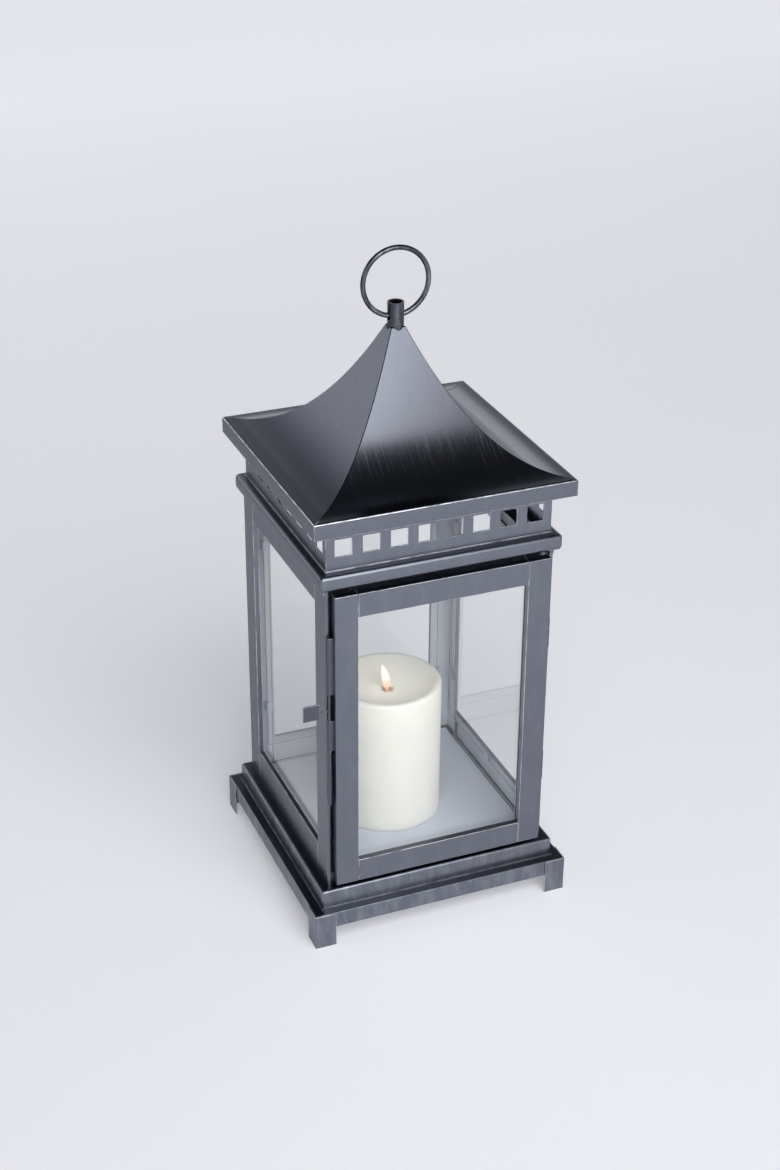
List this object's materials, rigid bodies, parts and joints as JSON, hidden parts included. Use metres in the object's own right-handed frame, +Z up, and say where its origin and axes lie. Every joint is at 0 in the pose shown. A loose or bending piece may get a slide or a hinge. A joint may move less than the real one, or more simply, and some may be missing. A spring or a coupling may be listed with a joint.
{
  "type": "candle lantern",
  "caption": "Square sheet metal lantern with a glazed hinged door, vented pagoda roof, carrying ring and a battery pillar candle with a swaying flame.",
  "frame": {"origin": "on the ground under the middle of the case", "axes": "+Z up, -Y out through the door, +X to the door's hinge side"},
  "size_m": [0.2108, 0.208, 0.5084],
  "materials": {
    "case_metal": "brushed, dark plated",
    "floor_metal": "satin, dark plated",
    "vent_metal": "brushed, dark plated",
    "roof_metal": "brushed, dark plated",
    "finial_metal": "polished, dark plated",
    "ring_metal": "polished, dark plated",
    "door_metal": "brushed, dark plated",
    "clip_metal": "plain sheet",
    "hinge_metal": "satin, dark plated",
    "latch_metal": "satin, dark plated",
    "glass": "clear float glass",
    "wax": "ivory paraffin wax",
    "flame_plastic": "translucent",
    "housing_plastic": "moulded",
    "switch_plastic": "moulded",
    "cell_jacket": "plain printed sleeve",
    "board_laminate": "solder mask",
    "coil_copper": "enamelled copper wire",
    "led_epoxy": "clear epoxy",
    "pivot_steel": "bright"
  },
  "bodies": {
    "case": {"base_tray": "case_metal", "bottom_rail_back": "case_metal", "bottom_rail_left": "case_metal", "bottom_rail_right": "case_metal", "cornice": "case_metal", "finial_tube": "finial_metal", "floor_plate": "floor_metal", "foot_back_left": "case_metal", "foot_back_right": "case_metal", "foot_front_left": "case_metal", "foot_front_right": "case_metal", "front_header": "case_metal", "front_sill": "case_metal", "hinge_frame_knuckles": "hinge_metal", "hinge_pins": "hinge_metal", "latch_keeper": "latch_metal", "pane_back": "glass", "pane_clips": "clip_metal", "pane_left": "glass", "pane_right": "glass", "plinth_tray": "case_metal", "post_back_left": "case_metal", "post_back_right": "case_metal", "post_front_left": "case_metal", "post_front_right": "case_metal", "roof_panel_back": "roof_metal", "roof_panel_front": "roof_metal", "roof_panel_left": "roof_metal", "roof_panel_right": "roof_metal", "top_rail_back": "case_metal", "top_rail_left": "case_metal", "top_rail_right": "case_metal", "vent_strip_back": "vent_metal", "vent_strip_front": "vent_metal", "vent_strip_left": "vent_metal", "vent_strip_right": "vent_metal"},
    "door": {"door_pane": "glass", "door_pane_clips": "clip_metal", "door_rail_bottom": "door_metal", "door_rail_top": "door_metal", "door_stile_left": "door_metal", "door_stile_right": "door_metal", "hinge_door_knuckles": "hinge_metal", "latch_guides": "latch_metal"},
    "bolt": {"latch_bolt": "latch_metal", "latch_flag": "latch_metal"},
    "ring": {"carry_ring": "ring_metal"},
    "candle": {"candle_wax": "wax", "candle_housing": "housing_plastic", "battery_holder": "housing_plastic", "batteries": "cell_jacket", "circuit_board": "board_laminate", "drive_coil": "coil_copper", "flame_led": "led_epoxy", "flame_wire": "pivot_steel"},
    "flame": {"flame_paddle": "flame_plastic", "flame_magnet": "pivot_steel"},
    "cell_cover": {"battery_cover": "housing_plastic"},
    "switch": {"power_switch": "switch_plastic"}
  },
  "joints": [
    {"name": "door_hinge", "type": "hinge", "parent": "case", "child": "door", "pos_m": [0.0856, -0.0906, 0.1709], "axis": [0, 0, 1], "range_deg": [0, 110]},
    {"name": "latch_slide", "type": "slide", "parent": "door", "child": "bolt", "axis": [0, 0, 1], "range_m": [-0.007, 0.0125]},
    {"name": "ring_swing", "type": "hinge", "parent": "case", "child": "ring", "pos_m": [0, 0, 0.4565], "axis": [1, 0, 0], "range_deg": [-135, 135]},
    {"name": "candle_lift", "type": "slide", "parent": "case", "child": "candle", "axis": [0, 0, 1], "range_m": [0, 0.1]},
    {"name": "flame_sway", "type": "hinge", "parent": "candle", "child": "flame", "pos_m": [-0.0057, -0.0016, 0.1471], "axis": [0, 1, 0], "range_deg": [-8, 8]},
    {"name": "cell_cover_twist", "type": "hinge", "parent": "candle", "child": "cell_cover", "pos_m": [-0.0057, -0.0016, 0.0464], "axis": [0, 0, 1], "range_deg": [0, 40]},
    {"name": "switch_slide", "type": "slide", "parent": "candle", "child": "switch", "axis": [1, 0, 0], "range_m": [0, 0.003]}
  ]
}
